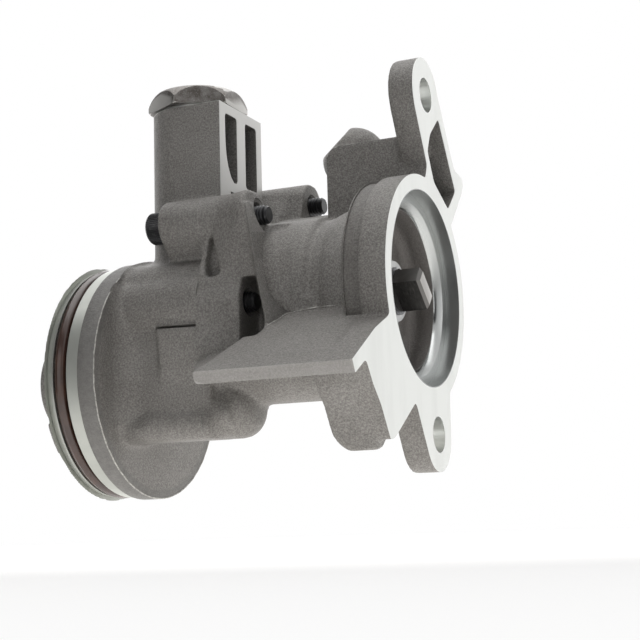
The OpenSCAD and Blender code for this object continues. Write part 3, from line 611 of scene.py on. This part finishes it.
# The fin's milled edge is a little paler than the blasted skin
down_fin = (cast.y - fin_edge[0] * MM) * along_fin[0] + (cast.z - fin_edge[1] * MM) * along_fin[1]
skin = cast.blend(down_fin.below(0.0001) * 0.45, skin, (0.34, 0.33, 0.32, 1))
from_drive = cast.from_axis(0, 0)
faced = cast.x.above(-0.00012)
bored = from_drive.below(0.0383, 0.0002) * cast.x.above(-0.0088)
nose = from_drive.below(0.0131, 0.0002) * cast.x.above(-0.0160)
recess_wall = from_drive.below(0.0320, 0.0002) * cast.x.above(-0.0200)
upper_hole, lower_hole = (cast.from_axis(y * MM, z * MM).below(0.0071) for y, z in ear_holes)
holes = upper_hole + lower_hole
joints = cast.x.below(-0.08297, 0.00002)
machined = faced.most(bored).most(nose).most(holes).most(joints)
marks = cast.noise(90, 3, 0.6, cast.stretched((1, 1, 0.18)))
bright = cast.blend(marks.above(0.55, 0.2) * 0.25, (0.68, 0.69, 0.67, 1), (0.54, 0.55, 0.53, 1))
rings = (from_drive * 14000 + cast.x * 14000).sine()
spun = bored.most(nose)
bright = cast.blend(joints, bright, (0.34, 0.335, 0.325, 1))
bright = cast.blend(spun * (rings * 0.25 + 0.75), bright, (0.29, 0.30, 0.30, 1))
# The wall of the recess round the drive is painted darker, as painted shade in the recess
colour = cast.blend(recess_wall * 0.75, skin, (0.115, 0.105, 0.098, 1))
colour = cast.blend(machined, colour, bright)
roughness = 0.60 - 0.30 * bored.most(holes) - 0.16 * faced - 0.14 * recess_wall + 0.05 * rings * spun
cast.feed(Base_Color=colour, Roughness=roughness, Metallic=0.35 + 0.55 * machined,
          Normal=cast.bump(roughcast * (1 - machined), 0.00030, 0.9))
finish_piece(body, cast.material, "cast_body", "housing", "pump_body")

# Gear housing. The second casting: the gear pockets, the relief valve tower and the round sealed spigot.
# It is cast and blasted like the body, and its joint face, tower face, spigot and bores are machined.
spigot_at = (0, -27.5)
valve_at = (-99, 0)
gear_x0 = -111.1
passage_x0 = -124.1
short_seat = -101.5
long_seat = -130.5
tower_x = joint_x + 4
tower_top = 82
overhang_z = 46
inlet_port_at = (10.406, -17.684)
outlet_port_at = (-15.482, -10.015)
inlet_port_r = 8.5
outlet_port_r = 6
pocket_r = 16.76
clear_r = 4.3
head_r = 6.8
outlet_r = 13


def post(at, r, z0, z1, steps=96):
    """A round bar along Z through the given x and y."""
    middle = (at[0] * MM, at[1] * MM, (z0 + z1) / 2 * MM)
    bpy.ops.mesh.primitive_cylinder_add(vertices=steps, radius=r * MM, depth=(z1 - z0) * MM, location=middle)
    return settle(bpy.context.object)


housing = merged_copy("gear_housing", "housing_casting")
push_face(housing, 0, joint_x, proud)
push_face(housing, 0, tower_x, proud)
push_face(housing, 2, tower_top, proud)
cast_end = joint_x + 1
drilled = [(drive_at, pocket_r, gear_x0, cast_end), (idler_at, pocket_r, gear_x0, cast_end),
           (inlet_port_at, inlet_port_r, gear_x0, cast_end),
           (outlet_port_at, outlet_port_r, passage_x0, cast_end),
           (drive_at, bush_r, gear_x0 - 8, gear_x0), (idler_at, idler_r, gear_x0 - 7, gear_x0),
           (spigot_at, outlet_r, -165.2, -126.1)]
drilled += [(at, clear_r, short_seat, cast_end) for at in short_at]
drilled += [(at, clear_r, long_seat, cast_end) for at in long_at]
drilled += [(at, head_r, -142.5, long_seat) for at in long_at]
drilled += [(at, dowel_r, -90.5, cast_end) for at in dowel_at]
fillers = [rod(at, r + 0.5, x0, x1) for at, r, x0, x1 in drilled]
fillers += [rod(spigot_at, 50.2, -142.5, -119.5, 160)]
# Slanted pad on the near wall, and the foot of the tower face above the near boss
pad = ((-27, -8.6), (-31.8, -10.4), (-32.2, -12), (-27.6, -36), (-27, -36))
fillers += [hull([(x, y, z) for x in (joint_x - 19, joint_x - 0.2) for y, z in pad]),
            block((joint_x - 2, -18.7, 41.6), (tower_x + proud, -10, 47))]
# Rib along the foot of the near wall, up to the joint
fillers += [hull(circle((-25.4, -48.6), 5.3, joint_x - 0.2) + circle((-25.4, -48.6), 5.3, -109)
                 + circle((-25.0, -48.6), 3.4, -113.5))]
# The valve bore and the two spill windows, cast shut as well
fillers += [post(valve_at, 14, 39, tower_top + proud), post(valve_at, 12, 26, 41)]
fillers += [block((-97, middle - 5.7, 49.4), (tower_x + proud, middle + 5.7, 78.6)) for middle in (-8.85, 8.85)]
join(housing, fillers)
cast_skin(housing, grid=0.85, rounds=12, hollow=0.6, ridge=0.2)
cut(housing, [block((joint_x, -beyond, -beyond), (50, beyond, 41.6)),
              block((joint_x, -10, 40), (50, beyond, overhang_z)),
              block((tower_x, -beyond, 40), (50, beyond, beyond)),
              block((-beyond, -beyond, tower_top), (50, beyond, beyond))])
past_joint = joint_x + 3
cut(housing, [rod(drive_at, pocket_r, gear_x0, past_joint), rod(idler_at, pocket_r, gear_x0, past_joint),
              rod(inlet_port_at, inlet_port_r, gear_x0, past_joint),
              rod(outlet_port_at, outlet_port_r, passage_x0, past_joint),
              rod(drive_at, bush_r, gear_x0 - 8, past_joint), rod(idler_at, idler_r, gear_x0 - 7, past_joint)])
cut(housing, [rod(at, clear_r, -110, past_joint) for at in short_at])
cut(housing, [rod(at, head_r, -117.5, short_seat) for at in short_at])
cut(housing, [rod(at, clear_r, -132, past_joint) for at in long_at])
cut(housing, [rod(at, head_r, -144, long_seat) for at in long_at])
cut(housing, [rod(at, dowel_r, -90.5, past_joint) for at in dowel_at])
cut(housing, [turned(spigot_at, [(-167, outlet_r + 3), (-165, outlet_r + 1), (-164, outlet_r),
                                 (passage_x0, outlet_r)], 96)])
cut(housing, [post(valve_at, 13.5, 40, 90, 128), post(valve_at, 11.5, 26, 41)])
# The near window's foot slants up towards the near side
near_window = ((-13.6, 77.6), (-12.6, 78), (-5, 78), (-4, 77.6), (-3.7, 76.6), (-3.7, 51.6), (-4.4, 50.3),
               (-6.8, 50), (-9.4, 52), (-11.8, 56), (-13.2, 60.5), (-13.8, 65), (-14, 70), (-14, 76.6))
cut(housing, [block((-95, 3.7, 50), (-60, 14, 78), edge=1.6),
              hull([(x, y, z) for x in (-95, -60) for y, z in near_window])])
# Undercuts left by the pattern above the pad and at its far end
cut(housing, [hull([(-103.6, -34, -9.4), (-103.6, -27.4, -10.9), (-103.6, -34, -11.3),
                    (joint_x + 0.5, -34, -9.9), (joint_x + 0.5, -27.4, -11.4), (joint_x + 0.5, -34, -11.8)]),
              hull([(-104.4, -34, -10), (-101.9, -34, -10), (-103, -27.2, -10),
                    (-103.2, -34, -23.5), (-102.6, -34, -23.5), (-103, -29.5, -23.5)])])
# The band, the seal's groove and the plate of the spigot are turned to size
waste = rod(spigot_at, 62, -142.4, -119.5, 160)
kept = [(-150, 46.7), (-142.4, 46.7), (-141.6, 47.2), (-139.3, 47.4), (-139.3, 43.05), (-132.9, 43.05),
        (-132.9, 47.7), (-132.6, 48.0), (-127.3, 48.0), (-127.1, 48.8), (-126.9, 48.9), (-119.9, 48.9),
        (-119.5, 48.7), (-110, 48.7)]
cut(waste, [turned(spigot_at, kept, 160)])
cut(housing, [waste])
thin_out(housing, most_triangles)

case = Finish("blasted_housing")
skin, roughcast = blasted(case)
blotch = case.noise(420, 2, 0.6)
from_spigot = case.from_axis(spigot_at[0] * MM, spigot_at[1] * MM)
rim = case.x.below(-0.1194, 0.0004) * from_spigot.above(0.0455, 0.001) * case.x.above(-0.1272)
rim_skin = case.blend(blotch.above(0.5, 0.3), (0.125, 0.122, 0.118, 1), (0.165, 0.162, 0.155, 1))
skin = case.blend(rim * 0.7, skin, rim_skin)
band = from_spigot.above(0.0425, 0.0003) * case.x.below(-0.12708) * case.x.above(-0.1427)
front = case.x.above(-0.07915)
top = case.z.above(0.08185)
joints = case.x.above(-0.08303, 0.00002) * case.z.below(0.0405)
across_valve = case.node("CombineXYZ", {}, {0: case.x - valve_at[0] * MM, 1: case.y, 2: 0.0})
from_valve = case.node("VectorMath", {"operation": "LENGTH"}, {0: across_valve}, 1)
bore = from_valve.below(0.01365) * case.z.above(0.0262)
outlet = from_spigot.below(0.0132) * case.x.below(-0.124)
machined = band.most(front).most(top).most(joints).most(bore).most(outlet)
marks = case.noise(90, 3, 0.6, case.stretched((0.2, 1, 0.4)))
bright = case.blend(marks.above(0.5, 0.25) * 0.5, (0.43, 0.44, 0.41, 1), (0.32, 0.33, 0.305, 1))
bright = case.blend(front, bright, (0.47, 0.465, 0.45, 1))
bright = case.blend(bore, bright, (0.16, 0.16, 0.158, 1))
colour = case.blend(machined, skin, bright)
case.feed(Base_Color=colour, Roughness=0.58 - 0.2 * machined, Metallic=0.35 + 0.45 * machined,
          Normal=case.bump(roughcast * (1 - machined), 0.00030, 0.9))
finish_piece(housing, case.material, "cast_housing", "housing", "gear_housing")

# Flash. Where the mould halves and cores met, a thin bright ridge of metal was left on both castings. The one
# along the fin's root is laid through its place in the photograph's frame, and the other circles the rim.
def laid_bead(name, carrier, way, r, lift):
    """A thin bead on the carrier, below the points of a way that is given in the photograph's pixels."""
    places = []
    for (x0, y0), (x1, y1) in zip(way, way[1:]):
        count = max(2, round(math.dist((x0, y0), (x1, y1)) / 2.5))
        for i in range(count):
            x, y = x0 + (x1 - x0) * i / count, y0 + (y1 - y0) * i / count
            look = right * ((x - photo_middle[0]) / focal) + up * ((photo_middle[1] - y) / focal) - back
            hit, place, normal, _ = carrier.ray_cast(stand, look.normalized())
            if hit:
                places.append(place + normal * lift * MM)
    curve = bpy.data.curves.new(name, "CURVE")
    curve.dimensions = "3D"
    curve.bevel_depth = r * MM
    curve.bevel_resolution = 1
    curve.use_fill_caps = True
    runs = [[places[0]]]
    for place in places[1:]:
        if (place - runs[-1][-1]).length > 5 * MM:
            runs.append([])
        runs[-1].append(place)
    for run in runs:
        if len(run) > 2:
            spline = curve.splines.new("POLY")
            spline.points.add(len(run) - 1)
            for point, place in zip(spline.points, run):
                point.co = (*place, 1)
                point.radius = 0.75 + 0.5 * math.sin(place.x * 900 + place.z * 1300)
    bead = bpy.data.objects.new(name, curve)
    bpy.context.scene.collection.objects.link(bead)
    activate(bead)
    bpy.ops.object.convert(target="MESH")
    return bpy.context.object


bare = Finish("bare_flash", Metallic=0.4)
fleck = bare.noise(900, 2, 0.6)
colour = bare.blend(fleck.above(0.5, 0.3), (0.24, 0.235, 0.22, 1), (0.50, 0.49, 0.46, 1))
bare.feed(Base_Color=colour, Roughness=0.45 + 0.1 * fleck, Normal=bare.bump(fleck, 0.00004, 0.4))
root_way = ((265, 327), (276, 320.5), (287, 313.5), (300, 310.5), (318, 307), (338, 305))
root_bead = laid_bead("root_flash", body, root_way, 0.26, 0.08)
finish_piece(root_bead, bare.material, "cast_body", "housing")
spigot_z = spigot_at[1] * MM
bpy.ops.mesh.primitive_torus_add(major_radius=48.62 * MM, minor_radius=0.28 * MM, major_segments=180,
                                 minor_segments=8, location=(-119.62 * MM, 0, spigot_z),
                                 rotation=(0, math.pi / 2, 0))
rim_bead = settle(bpy.context.object)
rim_bead.name = "rim_flash"
for corner in rim_bead.data.vertices:
    swing = math.atan2(corner.co.z - spigot_z, corner.co.y)
    corner.co.x += 0.12 * MM * math.sin(swing * 37) * math.sin(swing * 11)
finish_piece(rim_bead, bare.material, "cast_housing", "housing")

# Drive shaft. Hardened steel, ground on its journal, with a flat tang that fits the slot of the drive coupling.
# The tang is milled, so it keeps tool marks and a fine bright edge, and the circlip sits in a turned groove.
tip_x = -0.4
clip_x = -12.8
tang_x = tip_x - 11
tang_turn = math.radians(-40)
groove_r = shaft_r - 0.7
shaft = turned(drive_at, [(gear_x0 - 7.5, shaft_r - 0.5), (gear_x0 - 7, shaft_r), (clip_x, shaft_r),
                          (clip_x, groove_r), (clip_x + 1.2, groove_r), (clip_x + 1.2, shaft_r),
                          (tang_x, shaft_r)])
shaft.name = "tang_shaft"
# The tang's outline along X, as pairs of x and the chamfer there
tang_corners = []
for x, lost in ((tang_x - 2, 0), (tip_x - 1.3, 0), (tip_x, 1.3)):
    tang_corners += [(x, y * math.cos(tang_turn) - z * math.sin(tang_turn),
                      y * math.sin(tang_turn) + z * math.cos(tang_turn))
                     for y in (lost - 7.5, 7.5 - lost) for z in (lost - 3.75, 3.75 - lost)]
cut(shaft, [hull(tang_corners)], "UNION")
# The seat of the gear's key
cut(shaft, [block((-103.02, -2.02, 5.73), (-90.98, 2.02, 9.27), turn=-16.5)])
apply(shaft, "BEVEL", width=0.3 * MM, segments=2, limit_method="ANGLE", angle_limit=math.radians(28))

hard = Finish("hardened_shaft", Metallic=0.85)
strokes = hard.noise(700, 2, 0.6, hard.stretched((6, 0.5, 0.5)))
stain = hard.noise(160, 3, 0.6)
colour = hard.blend(stain.above(0.5, 0.4), (0.022, 0.021, 0.020, 1), (0.055, 0.053, 0.05, 1))
colour = hard.blend(strokes.above(0.6, 0.2) * 0.3, colour, (0.13, 0.125, 0.12, 1))
ends = hard.x.above(-0.00055, 0.0001)
across = (hard.y * math.cos(tang_turn) + hard.z * math.sin(tang_turn)).size()
flats = across.above(0.00745, 0.00003) * hard.x.above(tang_x * MM)
chamfer = hard.x.above((tip_x - 1.25) * MM)
colour = hard.blend(flats.most(chamfer) * 0.7, colour, (0.15, 0.145, 0.14, 1))
colour = hard.blend(ends * 0.8, colour, (0.42, 0.41, 0.39, 1))
hard.feed(Base_Color=colour, Roughness=0.34 + 0.2 * stain, Normal=hard.bump(strokes, 0.00003, 0.4))
finish_piece(shaft, hard.material, "drive_steel", "drive", "drive_shaft")

# Relief valve plug. A hexagonal steel plug with a chamfered crown, screwed into the top of the tower.
# It is phosphated a brownish grey that has worn to bare steel along the edges of the six flats.
plug_seat = 83.5
hex_height = 7.6
corner_r = 18 / math.cos(math.radians(30))
plug_turn = math.radians(-29 - 90)
plug = turned(valve_at, [(plug_seat, corner_r), (plug_seat + hex_height, corner_r)], 6, upright=True)
plug.name = "hex_plug"
valve_line = Vector((valve_at[0] * MM, 0, 0))
plug.data.transform(Matrix.Translation(valve_line) @ Matrix.Rotation(plug_turn, 4, "Z")
                    @ Matrix.Translation(-valve_line))
crown = [(plug_seat + rise, corner_r + wider)
         for rise, wider in ((0, -1), (0.9, 0.5), (2.2, 0.2), (3.6, -0.4), (5.2, -1.3), (6.6, -2.3),
                             (hex_height, -3.3))]
cut(plug, [turned(valve_at, crown, 128, upright=True)], "INTERSECT")
apply(plug, "BEVEL", width=0.3 * MM, segments=3, limit_method="ANGLE", angle_limit=math.radians(25))
skirt = [(tower_top - 3.5, 12.9), (tower_top - 2.9, 13.48), (plug_seat + 0.3, 13.48)]
cut(plug, [turned(valve_at, skirt, 96, upright=True)], "UNION")
cut(plug, [post(valve_at, 10.7, tower_top - 5, 86.5)])

hexed = Finish("phosphated_plug", Metallic=0.7)
cloud = hexed.noise(230, 5, 0.65)
fleck = hexed.noise(1900, 2, 0.6)
edge = hexed.node("NewGeometry", {}, {}, "Pointiness")
colour = hexed.blend(cloud.above(0.5, 0.22), (0.11, 0.098, 0.088, 1), (0.21, 0.20, 0.19, 1))
colour = hexed.blend(fleck.above(0.62, 0.1) * 0.4, colour, (0.40, 0.39, 0.38, 1))
colour = hexed.blend(edge.above(0.54, 0.03) * 0.8, colour, (0.55, 0.54, 0.52, 1))
hexed.feed(Base_Color=colour, Roughness=0.30 + 0.3 * cloud, Normal=hexed.bump(fleck + cloud, 0.00005, 0.4))
finish_piece(plug, hexed.material, "plug_steel", "housing", "relief_plug", angle=28)

# Cap screws. Five black socket-head screws hold the two castings together, two short and three long.
# Their heads are knurled, and their rolled threads come out through the body's bosses.
pitch = 1.25
round_steps = 96


def cap_screw(at, seat_x, length):
    """A socket-head screw along X, with its head's seat at seat_x and its tip this length further on."""
    tip = seat_x + length
    profile = [(seat_x - 8, 5.3), (seat_x - 7.7, 5.9), (seat_x - 7.2, 6.3), (seat_x - 6.8, 6.5),
               (seat_x - 0.4, 6.5), (seat_x, 6.2), (seat_x, 3.98), (tip - 16, 3.98)]
    profile += [(tip - 15.5 + pitch * (i / 2), 3.4 + 0.58 * (i % 2)) for i in range(23)]
    profile += [(tip - 0.8, 3.6), (tip, 3.0)]
    made = turned(at, profile, round_steps)
    places = np.empty(len(made.data.vertices) * 3)
    made.data.vertices.foreach_get("co", places)
    places = places.reshape(-1, 3)
    middle = np.array([at[0], at[1]]) * MM
    spokes = places[:, 1:] - middle
    reach = np.linalg.norm(spokes, axis=1)
    step = np.rint(np.arctan2(spokes[:, 1], spokes[:, 0]) / (2 * math.pi / round_steps)).astype(int)
    knurled = (reach > 6.45 * MM) & (step % 2 == 0)
    places[knurled, 1:] = middle + spokes[knurled] * 0.962
    made.data.vertices.foreach_set("co", places.ravel())
    cut(made, [rod(at, 3.48, seat_x - 9, seat_x - 4, 6)])
    return made


black = Finish("black_oxide", Metallic=0.5)
worn = black.noise(600, 3, 0.6)
colour = black.blend(worn.above(0.62, 0.15) * 0.5, (0.022, 0.022, 0.024, 1), (0.10, 0.10, 0.10, 1))
black.feed(Base_Color=colour, Roughness=0.28 + 0.22 * worn, Normal=black.bump(worn, 0.00004, 0.3))
for name, node, ends, seat_x, length in (("short_cap_screws", "short_screws", short_at, short_seat, 45),
                                         ("long_cap_screws", "long_screws", long_at, long_seat, 70)):
    screws = [cap_screw(at, seat_x, length) for at in ends]
    join(screws[0], screws[1:])
    screws[0].name = name
    finish_piece(screws[0], black.material, "screw_black", "housing", node, angle=24)

# Spigot seal. A brown moulded rubber ring in the groove of the spigot, shiny and with a fine parting ridge.
# It is stretched into the groove by hand, and stands proud of the band to seal in the engine block's bore.
bpy.ops.mesh.primitive_torus_add(major_radius=45.5 * MM, minor_radius=2.4 * MM, major_segments=168,
                                 minor_segments=28, location=(-136.8 * MM, 0, spigot_z),
                                 rotation=(0, math.pi / 2, 0))
seal = settle(bpy.context.object)
seal.name = "seal_ring"
parting_r = 47.88
for corner in seal.data.vertices:
    y, z = corner.co.y, corner.co.z - spigot_z
    if math.hypot(y, z) > parting_r * MM:
        corner.co.y, corner.co.z = y * 1.0025, z * 1.0025 + spigot_z
rubber = Finish("brown_rubber", Metallic=0.0, Coat_Roughness=0.12)
dust = rubber.noise(800, 3, 0.6)
sheen = rubber.noise(120, 2, 0.5)
colour = rubber.blend(sheen.above(0.5, 0.3), (0.030, 0.012, 0.008, 1), (0.052, 0.023, 0.015, 1))
colour = rubber.blend(dust.above(0.68, 0.08) * 0.2, colour, (0.16, 0.11, 0.09, 1))
rubber.feed(Base_Color=colour, Roughness=0.24 + 0.2 * dust, Coat_Weight=0.4,
            Normal=rubber.bump(dust, 0.00004, 0.4))
finish_piece(seal, rubber.material, "seal_rubber", "housing", "spigot_seal")

# Inside parts. Gears, key, idler shaft, bushes, piston, guide, washers, circlip and dowels keep their CAD
# shapes. They are ground or turned steel and bronze, seen through the windows, round the tang and in the bores.


def worked_metal(name, metallic, line_scale, stretch, tone_scale, dark, light, smoothest):
    """A ground, turned or reamed metal, with fine tool lines over a slightly uneven tone."""
    metal = Finish(name, Metallic=metallic)
    lines = metal.noise(line_scale, 2, 0.5, metal.stretched(stretch))
    tone = metal.noise(*tone_scale)
    metal.feed(Base_Color=metal.blend(tone.above(0.5, 0.4), dark, light), Roughness=smoothest + 0.2 * lines,
               Normal=metal.bump(lines, 0.00003, 0.3))
    return metal.material


ground = worked_metal("ground_steel", 0.9, 1500, (0.15, 1, 1), (140, 3, 0.55),
                      (0.30, 0.30, 0.31, 1), (0.42, 0.42, 0.43, 1), 0.24)
pale = worked_metal("bright_steel", 0.85, 1300, (1, 0.4, 0.4), (200, 3, 0.55),
                    (0.50, 0.50, 0.50, 1), (0.64, 0.64, 0.63, 1), 0.26)
bronze = worked_metal("reamed_bronze", 0.9, 1100, (0.2, 1, 1), (180, 3, 0.6),
                      (0.50, 0.36, 0.17, 1), (0.64, 0.49, 0.27, 1), 0.25)
wire = Finish("spring_wire", Metallic=0.85)
scale = wire.noise(900, 3, 0.6)
colour = wire.blend(scale.above(0.5, 0.3), (0.12, 0.12, 0.125, 1), (0.24, 0.24, 0.25, 1))
wire.feed(Base_Color=colour, Roughness=0.3 + 0.2 * scale, Normal=wire.bump(scale, 0.00003, 0.3))
inside = {"drive_gear": ground, "idler_gear": ground, "gear_key": pale, "idler_shaft": pale,
          "shaft_washer": pale, "relief_piston": pale, "spring_guide": pale, "plug_washer": pale,
          "dowel_pins": pale, "neck_bush": bronze, "joint_bush": bronze, "end_bush": bronze,
          "idler_bush": bronze, "shaft_snap_ring": wire.material}
for name, material in inside.items():
    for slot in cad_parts[name].material_slots:
        slot.material = material

# Relief valve spring. Six turns of drawn wire between the piston and the guide under the plug.
# It is seen through the spill windows. In the pump it shortens towards its upper end as the piston rises 14 mm;
# here it keeps the shape of the CAD spring.
spring = merged_copy("relief_spring", "valve_spring")
finish_piece(spring, wire.material, "spring_steel", "housing", "relief_spring")
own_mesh(spring)
